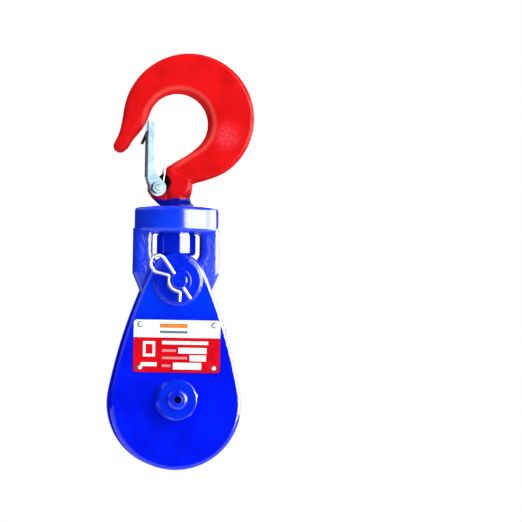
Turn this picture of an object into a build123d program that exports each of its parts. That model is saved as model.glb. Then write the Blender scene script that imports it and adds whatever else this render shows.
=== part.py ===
from build123d import *
import os
from math import acos, atan2, cos, degrees, hypot, pi, radians, sin, sqrt, tan

# Snatch block with a swivel latch hook, for wire rope, hanging straight from its hook.
# Millimetres. X to the right, Y to the back, Z up. The origin is the centre of the hook's bowl.

# Clearances
running_gap = 0.1
hinge_gap = 0.1
pin_gap = 0.05
face_gap = 0.3
cut_margin = 1.0
same_place = 0.01
edge_break = 0.5
edge_round = 1.0

# Sheave and its pin
sheave_radius = 57.0
sheave_width = 36.0
groove_radius = 7.0
groove_depth = 13.5
groove_half_angle = 36.0
sheave_hub_radius = 19.0
sheave_rim_wall = 6.0
sheave_recess = 5.0
sheave_edge_round = 1.2
bushing_wall = 3.0
centre_pin_radius = 11.0
sheave_washer_radius = 20.0
pin_head_radius = 18.0
pin_head_length = 17.0
pin_head_round = 2.0
pin_thread_radius = 10.0
pin_end_length = 4.5
pin_end_dome = 3.0
pin_nut_flats = 36.0
pin_nut_height = 15.0
pin_nut_turn = 12.5
nut_crown_ring = 0.2
nut_crown_slope = 30.0
grease_fitting_radius = 5.0
grease_fitting_stand = 0.8
grease_fitting_depth = 5.0
grease_hole_radius = 3.3
grease_hole_depth = 3.5

# Side plates
plate_gap = 41.0
plate_thickness = 8.0
plate_foot_radius = 64.0
plate_foot_drop = 4.5
plate_flank_radius = 520.0
plate_top_radius = 27.5
plate_edge_round = 3.5
plate_inner_round = 0.8
bolt_to_sheave = 115.3

# Load bolt, its disc, washer and hairpin
load_bolt_radius = 8.0
load_bolt_head_radius = 14.0
load_bolt_head_length = 9.0
load_bolt_end_length = 9.0
load_bolt_chamfer = 1.6
load_bolt_centre_mark = 1.6
bolt_disc_radius = 22.2
bolt_disc_thickness = 4.5
bolt_disc_round = 1.0
bolt_washer_radius = 12.5
bolt_washer_thickness = 2.5
bolt_washer_round = 0.6
hairpin_wire_radius = 1.65
hairpin_angle = -56.0
hairpin_setback = 4.0
hairpin_leg_past_bolt = 20.7
hairpin_length = 33.0
hairpin_loop_radius = 7.4
hairpin_loop_straight = 0.2
hairpin_loop_reach = 12.6
hairpin_neck_bend = 5.9
hairpin_bend = 2.5
hairpin_wave_angle = 37.0
hairpin_pinch_reach = 9.8
hairpin_flare = 7.0
hairpin_flare_rise = 5.6

# Nameplate
nameplate_width = 84.5
nameplate_height = 51.0
nameplate_thickness = 0.8
nameplate_corner = 3.5
nameplate_above_sheave = 51.7
rivet_inset_x = 6.2
rivet_inset_z = 4.6
rivet_radius = 2.3
rivet_height = 1.3
rivet_dome = 1.0
rivet_shank_radius = 1.4
rivet_shank_length = 4.0

# Yoke
puck_radius = 41.0
puck_height = 25.5
puck_round = 4.5
bolt_to_puck_top = 72.7
yoke_arm_radius = 41.7
yoke_arm_depth = 34.0
yoke_arm_round = 5.0
window_width = 48.0
window_corner = 4.0
window_foot_corner = 10.0
window_above_bolt = 18.5
yoke_taper_above_bolt = 8.0
yoke_taper_angle = 23.0
yoke_nose_reach = 52.0
yoke_nose_depth = 26.0
yoke_nose_round = 3.0
yoke_boss_radius = 18.0
yoke_joint_overlap = 12.0

# Swivel nut
shank_radius = 12.0
shank_end = 1.5
swivel_nut_radius = 19.0
swivel_nut_height = 19.5
swivel_nut_chamfer = 2.0
thrust_washer_radius = 18.0
thrust_washer_thickness = 2.0
cross_pin_radius = 2.5
cross_pin_recess = 0.8

# Hook
bowl_radius = 29.7
bowl_to_puck = 81.8
bow_radius = 63.5
bow_shift_x = 10.0
bow_shift_z = 5.0
bow_thickness = 32.0
bow_inner_round = 9.0
bow_outer_round = 4.0
tip_x = -56.5
tip_z = -23.0
tip_angle = -122.0
tip_radius = 6.5
tip_thickness = 17.0
tip_start_angle = 165.0
tip_root_thickness = 25.0
tip_steps = 4
tip_cap_stations = (0, 0.5, 0.8, 0.96)
bow_lean = 3.0
bow_steps = 16
throat_angle = -45.0
throat_lean = -34.0
throat_slope = -149.0
throat_steps = 4
back_slope = -157.0
neck_inner_round = 6.5
neck_outer_round = 6.5
inner_round_limit = 0.45
outer_round_limit = 0.42
neck_radius = 12.9
throat_z = -43.0
back_z = -59.5
neck_round_z = -72.5
throat_blend = 1.2
back_blend = 1.6
neck_steps = 4
collar_radius = 16.5
collar_height = 2.0
collar_flare = 6.0

# Latch
latch_pivot_x = -20.0
latch_pivot_z = -63.6
latch_lug_radius = 7.0
latch_lug_width = 16.0
latch_lug_round = 1.5
lug_root_inset = 2.0
lug_top_root_radius = 2.0
lug_top_root_drop = 5.5
lug_heel_inset = 0.5
lug_heel_drop = 4.0
lug_foot_root_radius = 4.0
lug_foot_root_inset = 5.8
lug_foot_root_drop = 13.0
latch_ear_radius = 8.1
latch_inner_width = 26.8
latch_sheet = 1.5
latch_bend_radius = 1.35
latch_arm_left = 11.2
latch_arm_depth = 6.6
latch_length = 65.4
latch_arm_corner = 2.0
latch_foot_top = 22.0
latch_waist_bend = 1.5
latch_web_start = 12.0
latch_web_top = 56.0
latch_lip_length = 13.2
latch_lip_thickness = 2.4
latch_lip_angle = -113.0
latch_lip_width = 16.0
latch_lip_root = 5.8
latch_bolt_radius = 3.0
latch_bolt_head_radius = 5.5
latch_bolt_head_length = 3.5
latch_bolt_end = 1.0
latch_nut_flats = 10.0
latch_nut_height = 4.5
latch_nut_turn = 15.0
latch_washer_radius = 5.9
latch_washer_thickness = 0.8
spring_wire_radius = 0.65
spring_coil_radius = 4.4
spring_turns = 3
spring_leg_length = 20.5
spring_leg_angle = 82.0
spring_bridge_height = 20.0
spring_joint_swell = 0.05

# Places that follow from the sizes above
puck_top_z = -bowl_to_puck
puck_bottom_z = puck_top_z - puck_height
bolt_z = puck_top_z - bolt_to_puck_top
sheave_z = bolt_z - bolt_to_sheave
plate_inner_y = plate_gap / 2
plate_outer_y = plate_inner_y + plate_thickness
washer_face_y = plate_outer_y + bolt_disc_thickness
bolt_end_y = washer_face_y + bolt_washer_thickness + load_bolt_end_length
hairpin_y = bolt_end_y - hairpin_setback
thrust_washer_z = puck_bottom_z - running_gap
swivel_nut_top_z = thrust_washer_z - thrust_washer_thickness
swivel_nut_bottom_z = swivel_nut_top_z - swivel_nut_height
shank_bottom_z = swivel_nut_bottom_z - shank_end
latch_outer_y = latch_inner_width / 2 + latch_sheet


def polar(x, z, radius, angle):
    """Point at an angle in degrees from +X towards +Z round a centre."""
    return (x + radius * cos(radians(angle)), z + radius * sin(radians(angle)))


def between(start, end, share):
    """Point at a share of the way from start to end."""
    return (start[0] + (end[0] - start[0]) * share, start[1] + (end[1] - start[1]) * share)


def rod(radius, front_y, back_y, x, z):
    """Cylinder along Y between two depths; a negative depth is in front."""
    bar = Cylinder(radius, back_y - front_y)
    return Pos(x, (front_y + back_y) / 2, z) * Rot(90, 0, 0) * bar


def ring(outer_radius, inner_radius, front_y, back_y, x, z):
    """Flat washer or sleeve along Y."""
    hole = rod(inner_radius, front_y - cut_margin, back_y + cut_margin, x, z)
    return rod(outer_radius, front_y, back_y, x, z) - hole


def face_xz(edges):
    """Face in the X-Z plane from edges drawn with X as X and Y as Z; it looks to the front."""
    return Plane.XZ * make_face(edges)


def section(inner, outer, thickness, inner_round, outer_round):
    """Rounded section of the hook between two points of its outline, symmetric in Y."""
    width = hypot(outer[0] - inner[0], outer[1] - inner[1])
    step_x = (outer[0] - inner[0]) / width
    step_z = (outer[1] - inner[1]) / width
    half = thickness / 2
    inner_bend = inner_round * (1 - sqrt(0.5))
    outer_bend = outer_round * (1 - sqrt(0.5))

    def place(across, depth):
        return Vector(inner[0] + step_x * across, depth, inner[1] + step_z * across)

    corners = [
        place(0, inner_round - half), place(0, half - inner_round),
        place(inner_round, half), place(width - outer_round, half),
        place(width, half - outer_round), place(width, outer_round - half),
        place(width - outer_round, -half), place(inner_round, -half),
    ]
    middles = [
        place(inner_bend, half - inner_bend), place(width - outer_bend, half - outer_bend),
        place(width - outer_bend, outer_bend - half), place(inner_bend, inner_bend - half),
    ]
    edges = []
    for side in range(4):
        start, end, after = (corners[(2 * side + k) % 8] for k in range(3))
        edges.append(Edge.make_line(start, end))
        edges.append(Edge.make_three_point_arc(end, middles[side], after))
    return Wire(edges)


def neck_section(radius, z):
    """Level circle, split into eight arcs so that it joins the other sections."""
    half_side = 15

    def place(angle):
        return Vector(radius * cos(radians(angle)), radius * sin(radians(angle)), z)

    edges = []
    for side in range(4):
        first = 180 + half_side - 90 * side
        second = first - 2 * half_side
        third = first - 90
        edges.append(Edge.make_three_point_arc(place(first), place(first - half_side), place(second)))
        edges.append(Edge.make_three_point_arc(place(second), place((second + third) / 2), place(third)))
    return Wire(edges)


def bow_station(angle):
    """Inner and outer outline points of the bow at an angle round the bowl."""
    inner = polar(0, 0, bowl_radius, angle)
    lean = angle - bow_lean if angle > 0 else angle * (throat_lean - bow_lean) / throat_angle - bow_lean
    rel_x = inner[0] - bow_shift_x
    rel_z = inner[1] - bow_shift_z
    along = rel_x * cos(radians(lean)) + rel_z * sin(radians(lean))
    reach = -along + sqrt(along ** 2 + bow_radius ** 2 - rel_x ** 2 - rel_z ** 2)
    return inner, polar(inner[0], inner[1], reach, lean)


def flow(start, start_angle, end, end_angle, share):
    """Point on the cubic that leaves start and reaches end in the given directions."""
    chord = hypot(end[0] - start[0], end[1] - start[1])
    leave = polar(0, 0, chord, start_angle)
    arrive = polar(0, 0, chord, end_angle)
    late = share ** 2 * (3 - 2 * share)
    out = share * (1 - share) ** 2
    back = share ** 2 * (share - 1)
    return tuple(start[k] * (1 - late) + end[k] * late + leave[k] * out + arrive[k] * back for k in range(2))


def circle_angle(point):
    """Direction of the bow's outer circle at a point, going clockwise."""
    return degrees(atan2(point[1] - bow_shift_z, point[0] - bow_shift_x)) - 90


def hook_wire(inner, outer, thickness, inner_round, outer_round):
    """Section whose roundings stay inside its own width."""
    room = min(hypot(outer[0] - inner[0], outer[1] - inner[1]), thickness)
    inner_round = min(inner_round, inner_round_limit * room)
    outer_round = min(outer_round, outer_round_limit * room)
    return section(inner, outer, thickness, inner_round, outer_round)


def tip_ends():
    """Two sides of the tip where its round end begins."""
    inner = polar(tip_x, tip_z, tip_radius, tip_angle + 90)
    outer = polar(tip_x, tip_z, tip_radius, tip_angle - 90)
    return inner, outer


def bow_wires():
    """Sections from the tip, round the bow and along the throat to the neck."""
    wires = []
    inner_end, outer_end = tip_ends()
    inner_bow, outer_bow = bow_station(tip_start_angle)
    for step in range(tip_steps):
        share = step / tip_steps
        inner = flow(inner_end, tip_angle + 180, inner_bow, tip_start_angle - 90, share)
        outer = flow(outer_end, tip_angle + 180, outer_bow, circle_angle(outer_bow), share)
        thickness = tip_thickness + (tip_root_thickness - tip_thickness) * share
        wires.append(hook_wire(inner, outer, thickness, bow_inner_round, bow_outer_round))
    for step in range(bow_steps + 1):
        angle = tip_start_angle + (throat_angle - tip_start_angle) * step / bow_steps
        inner, outer = bow_station(angle)
        if angle > 90:
            swell = sin(pi / 2 * (tip_start_angle - angle) / (tip_start_angle - 90))
            thickness = tip_root_thickness + (bow_thickness - tip_root_thickness) * swell
        else:
            swell = cos(pi / 2 * max(0, -angle) / (90 - throat_angle))
            thickness = 2 * neck_radius + (bow_thickness - 2 * neck_radius) * swell
        wires.append(hook_wire(inner, outer, thickness, bow_inner_round, bow_outer_round))
    last_thickness = thickness
    throat_start, back_start = bow_station(throat_angle)
    throat_end, back_end = throat_ends()
    for step in range(1, throat_steps + 1):
        share = step / throat_steps
        inner = flow(throat_start, throat_angle - 90, throat_end, throat_slope, share)
        outer = flow(back_start, circle_angle(back_start), back_end, back_slope, share)
        thickness = last_thickness + (2 * neck_radius - last_thickness) * sin(pi / 2 * share)
        inner_round = bow_inner_round + (neck_inner_round - bow_inner_round) * share
        outer_round = bow_outer_round + (neck_outer_round - bow_outer_round) * share
        wires.append(hook_wire(inner, outer, thickness, inner_round, outer_round))
    return wires


def throat_ends():
    """Points where the throat and the back of the hook reach the neck."""
    return (-neck_radius + throat_blend, throat_z), (neck_radius + back_blend, back_z)


def neck_wires():
    """Sections from the throat's end to the round neck; they turn round late."""
    wires = []
    for step in range(neck_steps):
        share = step / neck_steps
        fade = 1 - share ** 2
        inner = (throat_blend * fade - neck_radius, throat_z + (neck_round_z - throat_z) * share)
        outer = (back_blend * fade + neck_radius, back_z + (neck_round_z - back_z) * share)
        inner_round = neck_inner_round + (neck_radius - neck_inner_round) * share ** 4
        outer_round = neck_outer_round + (neck_radius - neck_outer_round) * share ** 4
        wires.append(hook_wire(inner, outer, 2 * neck_radius, inner_round, outer_round))
    wires.append(neck_section(neck_radius, neck_round_z))
    return wires


def tip_cap_wires():
    """Shrinking sections that round off the tip's end."""
    wires = []
    for advance in tip_cap_stations:
        shrink = sqrt(1 - advance ** 2)
        end_x, end_z = polar(tip_x, tip_z, advance * tip_radius, tip_angle)
        inner = polar(end_x, end_z, shrink * tip_radius, tip_angle + 90)
        outer = polar(end_x, end_z, shrink * tip_radius, tip_angle - 90)
        thickness = tip_thickness - 2 * tip_radius * (1 - shrink)
        wires.append(hook_wire(inner, outer, thickness, bow_inner_round * shrink, bow_outer_round * shrink))
    return wires


def body_of_revolution(points):
    """Solid turned round Z from the right half of its outline, as X and Z."""
    outline = Polyline(*points, close=True)
    return revolve(Plane.XZ * make_face(outline), Axis.Z)


def edges_at(shape, axis, place):
    """Edges whose every point lies at one place along an axis."""
    return shape.edges().filter_by_position(axis, place - same_place, place + same_place)


def make_collar_and_shank():
    """Flared collar that rides over the yoke, and the shank that passes down through it."""
    bottom = puck_top_z + face_gap
    top = bottom + collar_height
    lines = [
        Line((0, neck_round_z), (neck_radius, neck_round_z)),
        Line((neck_radius, neck_round_z), (neck_radius, top + collar_flare)),
        TangentArc((neck_radius, top + collar_flare), (collar_radius, top), tangent=(0, -1)),
        Polyline((collar_radius, top), (collar_radius, bottom), (shank_radius, bottom)),
        Polyline((shank_radius, bottom), (shank_radius, shank_bottom_z), (0, shank_bottom_z)),
        Line((0, shank_bottom_z), (0, neck_round_z)),
    ]
    return revolve(face_xz(lines), Axis.Z)


def make_latch_lug():
    """Rib on the left of the neck that carries the latch bolt."""
    nose = Pos(latch_pivot_x, latch_pivot_z) * Circle(latch_lug_radius)
    heel = Pos(*latch_place(lug_heel_inset, -lug_heel_drop)) * Circle(latch_lug_radius)
    top_root = Pos(lug_root_inset - neck_radius, throat_z - lug_top_root_drop) * Circle(lug_top_root_radius)
    foot_root = Pos(*latch_place(lug_foot_root_inset, -lug_foot_root_drop)) * Circle(lug_foot_root_radius)
    outline = make_hull((nose + heel + top_root + foot_root).edges())
    lug = extrude(Plane.XZ * outline, latch_lug_width / 2, both=True)
    half = latch_lug_width / 2
    return fillet(edges_at(lug, Axis.Y, half) + edges_at(lug, Axis.Y, -half), latch_lug_round)


def make_hook():
    """Forged hook with its neck, collar, threaded shank and latch lug."""
    bow = Solid.make_loft(bow_wires())
    neck = Solid.make_loft(neck_wires(), ruled=True)
    cap = Solid.make_loft(tip_cap_wires())
    hook = bow + neck + cap + make_collar_and_shank() + make_latch_lug()
    hook -= rod(latch_bolt_radius + pin_gap, -bow_thickness, bow_thickness, latch_pivot_x, latch_pivot_z)
    return hook - cross_pin(cross_pin_radius + pin_gap, shank_radius + cut_margin)


def cross_pin(radius, half_length):
    """Rod along X through the middle of the swivel nut."""
    place = Pos(0, 0, (swivel_nut_top_z + swivel_nut_bottom_z) / 2)
    return place * Rot(0, 90, 0) * Cylinder(radius, 2 * half_length)


def disc_z(radius, bottom_z, top_z):
    """Cylinder round the shank between two levels."""
    return Pos(0, 0, (bottom_z + top_z) / 2) * Cylinder(radius, top_z - bottom_z)


def make_swivel_nut():
    """Round nut that carries the load on the shank's thread."""
    nut = disc_z(swivel_nut_radius, swivel_nut_bottom_z, swivel_nut_top_z)
    nut = chamfer(edges_at(nut, Axis.Z, swivel_nut_bottom_z), swivel_nut_chamfer)
    nut -= disc_z(shank_radius + pin_gap, swivel_nut_bottom_z - cut_margin, swivel_nut_top_z + cut_margin)
    return nut - cross_pin(cross_pin_radius + pin_gap, swivel_nut_radius + cut_margin)


def make_thrust_washer():
    """Hardened washer between the swivel nut and the yoke."""
    washer = disc_z(thrust_washer_radius, swivel_nut_top_z, thrust_washer_z)
    bore = disc_z(shank_radius + running_gap, swivel_nut_top_z - cut_margin, thrust_washer_z + cut_margin)
    return washer - bore


def latch_place(x, z):
    """Point given from the latch pivot."""
    return (latch_pivot_x + x, latch_pivot_z + z)


def make_latch_flange_face():
    """Side outline of the latch: round ear at the pivot and a narrow arm above it."""
    left = -latch_arm_left
    right = left + latch_arm_depth
    shoulder = polar(0, 0, latch_ear_radius, 45)
    ear_left = polar(0, 0, latch_ear_radius, 165)
    ear_bottom = polar(0, 0, latch_ear_radius, -75)
    corner = latch_arm_corner
    bend = corner * (1 - sqrt(0.5))
    run, rise = shoulder[0] - right, latch_foot_top - shoulder[1]
    middle = between((right, latch_foot_top), shoulder, 0.5)
    waist_x = middle[0] - latch_waist_bend * rise / hypot(run, rise)
    waist_z = middle[1] - latch_waist_bend * run / hypot(run, rise)
    lines = [
        Line(latch_place(left, latch_web_start), latch_place(left, latch_length)),
        Line(latch_place(left, latch_length), latch_place(right - corner, latch_length)),
        ThreePointArc(
            latch_place(right - corner, latch_length),
            latch_place(right - bend, latch_length - bend),
            latch_place(right, latch_length - corner),
        ),
        Line(latch_place(right, latch_length - corner), latch_place(right, latch_foot_top)),
        ThreePointArc(
            latch_place(right, latch_foot_top),
            latch_place(waist_x, waist_z),
            latch_place(*shoulder),
        ),
        ThreePointArc(latch_place(*shoulder), latch_place(*ear_bottom), latch_place(*ear_left)),
        Line(latch_place(*ear_left), latch_place(left, latch_web_start)),
    ]
    return face_xz(lines)


def make_latch():
    """Sprung channel of bent sheet that closes the hook's throat, with a lip folded out at its top."""
    half = latch_inner_width / 2
    outer_half = half + latch_sheet
    left = latch_pivot_x - latch_arm_left
    web_top = latch_pivot_z + latch_web_top
    web_bottom = latch_pivot_z + latch_web_start
    latch = extrude(make_latch_flange_face(), outer_half, both=True)
    bends = latch.edges().filter_by(Axis.Z).sort_by(Axis.X)[:2]
    latch = fillet(bends, latch_bend_radius)
    room = 4 * latch_length
    hollow = Pos(left + latch_sheet + room / 2, 0, latch_pivot_z) * Box(room, latch_inner_width, room)
    above = Pos(left, 0, web_top + room / 2) * Box(room, latch_inner_width, room)
    below = Pos(left, 0, web_bottom - room / 2) * Box(room, latch_inner_width, room)
    latch = latch - hollow - above - below
    latch -= rod(latch_bolt_radius + hinge_gap, -room, room, latch_pivot_x, latch_pivot_z)
    return latch + make_latch_lip(left, web_top)


def make_latch_lip(left, top):
    """Tongue folded back and outwards over the top of the latch's web."""
    reach = polar(left, top, latch_lip_length, latch_lip_angle)
    across = polar(0, 0, latch_lip_thickness, latch_lip_angle + 90)
    outline = Polyline(
        (left + latch_sheet, top - latch_sheet),
        (left + latch_sheet, top),
        (left, top),
        reach,
        (reach[0] + across[0], reach[1] + across[1]),
        (left, top - latch_lip_root),
        close=True,
    )
    return extrude(Plane.XZ * make_face(outline), latch_lip_width / 2, both=True)


def make_latch_bolt():
    """Hinge bolt of the latch, with its head at the back."""
    back = latch_outer_y + running_gap
    front = back + latch_washer_thickness + latch_nut_height + latch_bolt_end
    bolt = rod(latch_bolt_radius, -front, back, latch_pivot_x, latch_pivot_z)
    head = rod(latch_bolt_head_radius, back, back + latch_bolt_head_length, latch_pivot_x, latch_pivot_z)
    head = fillet(edges_at(head, Axis.Y, back + latch_bolt_head_length), edge_round)
    return chamfer(edges_at(bolt, Axis.Y, -front), edge_break) + head


def make_latch_washer():
    """Washer under the latch nut."""
    face = latch_outer_y + running_gap
    outer = latch_washer_radius
    inner = latch_bolt_radius + pin_gap
    return ring(outer, inner, -face - latch_washer_thickness, -face, latch_pivot_x, latch_pivot_z)


def hex_nut(flats, height, bore, face_y, x, z, turn):
    """Hexagon nut in front of a face, with its outer corners turned down."""
    hexagon = RegularPolygon(flats / 2, 6, major_radius=False)
    blank = extrude(hexagon, height)
    crown = flats / 2 + nut_crown_ring
    corner = flats / sqrt(3) + cut_margin
    slope = (corner - crown) * tan(radians(nut_crown_slope))
    turned = body_of_revolution([
        (0, 0), (corner, 0), (corner, height - slope), (crown, height), (0, height),
    ])
    nut = (blank & turned) - Cylinder(bore, 3 * height)
    return Pos(x, face_y, z) * Rot(90, 0, 0) * Rot(0, 0, turn) * nut


def make_latch_nut():
    """Nut on the front of the latch bolt."""
    face = latch_outer_y + running_gap + latch_washer_thickness
    bore = latch_bolt_radius + pin_gap
    x, z = latch_place(0, 0)
    return hex_nut(latch_nut_flats, latch_nut_height, bore, -face, x, z, latch_nut_turn)


def wire_between(start, end):
    """Straight piece of spring wire with round ends."""
    line = Line(start, end)
    bar = sweep(Plane(line @ 0, z_dir=line % 0) * Circle(spring_wire_radius), line)
    joint = Sphere(spring_wire_radius + spring_joint_swell)
    return bar + Pos(*start) * joint + Pos(*end) * joint


def make_latch_spring():
    """Double torsion spring: two coils on the latch bolt, a bridge on the web and two legs by the neck."""
    bridge_x = -latch_arm_left + latch_sheet + spring_wire_radius + running_gap
    bridge_z = spring_bridge_height
    slant = degrees(atan2(bridge_z, bridge_x)) + degrees(acos(spring_coil_radius / hypot(bridge_x, bridge_z)))
    leg_angle = spring_leg_angle - 90
    sweep_angle = (leg_angle - slant) % 360 + 360 * (spring_turns - 1)
    pitch = 2 * spring_wire_radius + running_gap
    inner_y = latch_lug_width / 2 + spring_wire_radius + running_gap
    length = pitch * sweep_angle / 360
    coil_path = Helix(pitch, length, spring_coil_radius)
    coil = sweep(Plane(coil_path @ 0, z_dir=coil_path % 0) * Circle(spring_wire_radius), coil_path)
    coil = Pos(latch_pivot_x, -inner_y, latch_pivot_z) * Rot(90, 0, 0) * Rot(0, 0, slant) * coil
    start_x, start_z = latch_place(*polar(0, 0, spring_coil_radius, slant))
    end_x, end_z = latch_place(*polar(0, 0, spring_coil_radius, leg_angle))
    top_x, top_z = polar(end_x, end_z, spring_leg_length, spring_leg_angle)
    across_x, across_z = latch_place(bridge_x, bridge_z)
    outer_y = inner_y + length
    arm = wire_between((start_x, -inner_y, start_z), (across_x, -inner_y, across_z))
    leg = wire_between((end_x, -outer_y, end_z), (top_x, -outer_y, top_z))
    bridge = wire_between((across_x, -inner_y, across_z), (across_x, inner_y, across_z))
    half = coil + arm + leg
    return half + bridge + mirror(half, Plane.XZ)


def yoke_nose():
    """Radius and centre height of the nose circle that the yoke's tapered flanks run into."""
    taper_z = bolt_z + yoke_taper_above_bolt
    nose_bottom = bolt_z - yoke_nose_reach
    lean = radians(yoke_taper_angle)
    reach = yoke_arm_radius * cos(lean) - (taper_z - nose_bottom) * sin(lean)
    radius = reach / (1 - sin(lean))
    return radius, nose_bottom + radius


def make_yoke_outline(top):
    """Front outline of the yoke up to a level: straight arms that taper to a round nose."""
    radius, nose_z = yoke_nose()
    taper_z = bolt_z + yoke_taper_above_bolt
    side = yoke_arm_radius
    right = polar(0, nose_z, radius, -yoke_taper_angle)
    shoulders = [(-side, taper_z), (side, taper_z)]
    if top > taper_z:
        shoulders = [(-side, taper_z), (-side, top), (side, top), (side, taper_z)]
    lines = [
        Polyline((-right[0], right[1]), *shoulders, right),
        ThreePointArc(right, (0, nose_z - radius), (-right[0], right[1])),
    ]
    return face_xz(lines)


def make_yoke_window():
    """Opening between the yoke's arms, where the swivel nut turns."""
    top = puck_bottom_z
    bottom = bolt_z + window_above_bolt
    outline = Pos(0, (top + bottom) / 2) * Rectangle(window_width, top - bottom)
    outline = fillet(outline.vertices().group_by(Axis.Y)[-1], window_corner)
    outline = fillet(outline.vertices().group_by(Axis.Y)[0], window_foot_corner)
    return extrude(Plane.XZ * outline, yoke_arm_depth, both=True)


def make_yoke_arms():
    """Two arms with rounded edges, thinned in depth towards the nose and trimmed to the round head."""
    half = yoke_arm_depth / 2
    nose_half = yoke_nose_depth / 2 - pin_gap
    top = puck_bottom_z + yoke_joint_overlap
    taper_z = bolt_z + yoke_taper_above_bolt
    nose_z = yoke_nose()[1]
    bottom = nose_z - yoke_nose_reach
    arms = extrude(make_yoke_outline(top), half, both=True) - make_yoke_window()
    rims = edges_at(arms, Axis.Y, half) + edges_at(arms, Axis.Y, -half)
    arms = fillet(rims.filter_by(lambda edge: edge.center().Z < top - same_place), yoke_arm_round)
    side_outline = Polyline(
        (half, top), (half, taper_z), (nose_half, nose_z), (nose_half, bottom),
        (-nose_half, bottom), (-nose_half, nose_z), (-half, taper_z), (-half, top),
        close=True,
    )
    arms &= extrude(Plane.YZ * make_face(side_outline), 2 * yoke_arm_radius, both=True)
    trim_z = puck_bottom_z + puck_round
    above = top + cut_margin
    return arms - (disc_z(2 * yoke_arm_radius, trim_z, above) - disc_z(puck_radius, trim_z, above))


def make_yoke():
    """Forged yoke: round head for the shank, two arms, and a hub and nose between the side plates."""
    nose_half = yoke_nose_depth / 2
    nose = extrude(make_yoke_outline(bolt_z + yoke_taper_above_bolt), nose_half, both=True)
    nose = fillet(edges_at(nose, Axis.Y, nose_half) + edges_at(nose, Axis.Y, -nose_half), yoke_nose_round)
    puck = disc_z(puck_radius, puck_bottom_z, puck_top_z)
    puck = fillet(edges_at(puck, Axis.Z, puck_top_z) + edges_at(puck, Axis.Z, puck_bottom_z), puck_round)
    boss_half = plate_inner_y - face_gap
    boss = rod(yoke_boss_radius, -boss_half, boss_half, 0, bolt_z)
    boss = chamfer(edges_at(boss, Axis.Y, boss_half) + edges_at(boss, Axis.Y, -boss_half), edge_round)
    yoke = make_yoke_arms() + nose + puck + boss
    yoke -= disc_z(shank_radius + running_gap, puck_bottom_z - cut_margin, puck_top_z + cut_margin)
    return yoke - rod(load_bolt_radius + hinge_gap, -plate_gap, plate_gap, 0, bolt_z)


def make_plate_outline():
    """Teardrop of a side plate: two circles joined by wide arcs that touch both."""
    foot_centre_z = sheave_z - plate_foot_drop
    top_reach = plate_flank_radius - plate_top_radius
    foot_reach = plate_flank_radius - plate_foot_radius
    spread = bolt_z - foot_centre_z
    flank_z = (bolt_z + foot_centre_z) / 2 + (foot_reach ** 2 - top_reach ** 2) / (2 * spread)
    flank_x = -sqrt(top_reach ** 2 - (bolt_z - flank_z) ** 2)
    top_angle = degrees(atan2(bolt_z - flank_z, -flank_x))
    foot_angle = degrees(atan2(foot_centre_z - flank_z, -flank_x))
    top = polar(flank_x, flank_z, plate_flank_radius, top_angle)
    middle = polar(flank_x, flank_z, plate_flank_radius, (top_angle + foot_angle) / 2)
    foot = polar(flank_x, flank_z, plate_flank_radius, foot_angle)
    lines = [
        ThreePointArc((-top[0], top[1]), (0, bolt_z + plate_top_radius), top),
        ThreePointArc(top, middle, foot),
        ThreePointArc(foot, (0, foot_centre_z - plate_foot_radius), (-foot[0], foot[1])),
        ThreePointArc((-foot[0], foot[1]), (-middle[0], middle[1]), (-top[0], top[1])),
    ]
    return face_xz(lines)


def make_side_plate(side):
    """Side plate with its outer edge rounded over; side is -1 for the front and 1 for the back."""
    plate = extrude(make_plate_outline(), -side * plate_thickness)
    plate = Pos(0, side * plate_inner_y, 0) * plate
    plate = fillet(edges_at(plate, Axis.Y, side * plate_outer_y), plate_edge_round)
    plate = fillet(edges_at(plate, Axis.Y, side * plate_inner_y), plate_inner_round)
    past = plate_outer_y + cut_margin
    plate -= rod(centre_pin_radius + pin_gap, -past, past, 0, sheave_z)
    plate -= rod(load_bolt_radius + pin_gap, -past, past, 0, bolt_z)
    if side < 0:
        plate -= rivet_shanks(rivet_shank_radius + pin_gap, rivet_shank_length + face_gap)
    return plate


def make_bolt_disc():
    """Raised disc round the load bolt on the front plate."""
    front = -washer_face_y
    disc = rod(bolt_disc_radius, front, -plate_outer_y, 0, bolt_z)
    disc = fillet(edges_at(disc, Axis.Y, front), bolt_disc_round)
    return disc - rod(load_bolt_radius + pin_gap, front - cut_margin, 0, 0, bolt_z)


def make_load_bolt_washer():
    """Washer in front of the raised disc."""
    front = -washer_face_y - bolt_washer_thickness
    inner = load_bolt_radius + pin_gap
    washer = ring(bolt_washer_radius, inner, front, -washer_face_y, 0, bolt_z)
    rim = edges_at(washer, Axis.Y, front).sort_by(SortBy.RADIUS)[-1]
    return fillet(rim, bolt_washer_round)


def hairpin_plane():
    """Plane of the hairpin: first axis down its straight leg, second towards its curved leg."""
    lean = radians(hairpin_angle)
    return Plane(origin=(0, -hairpin_y, bolt_z), x_dir=(cos(lean), 0, sin(lean)), z_dir=(0, 1, 0))


def make_load_bolt():
    """Load bolt with a round head at the back and a drilled end at the front."""
    head_y = plate_outer_y + load_bolt_head_length
    bolt = rod(load_bolt_radius, -bolt_end_y, plate_outer_y, 0, bolt_z)
    bolt = chamfer(edges_at(bolt, Axis.Y, -bolt_end_y), load_bolt_chamfer)
    head = rod(load_bolt_head_radius, plate_outer_y, head_y, 0, bolt_z)
    bolt += fillet(edges_at(head, Axis.Y, head_y), pin_head_round)
    drill = Cylinder(hairpin_wire_radius + running_gap, 4 * load_bolt_radius)
    bolt -= hairpin_plane() * Rot(0, 90, 0) * drill
    mark = Cone(0, load_bolt_centre_mark, load_bolt_centre_mark)
    return bolt - Pos(0, -bolt_end_y + load_bolt_centre_mark / 2, bolt_z) * Rot(90, 0, 0) * mark


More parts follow.
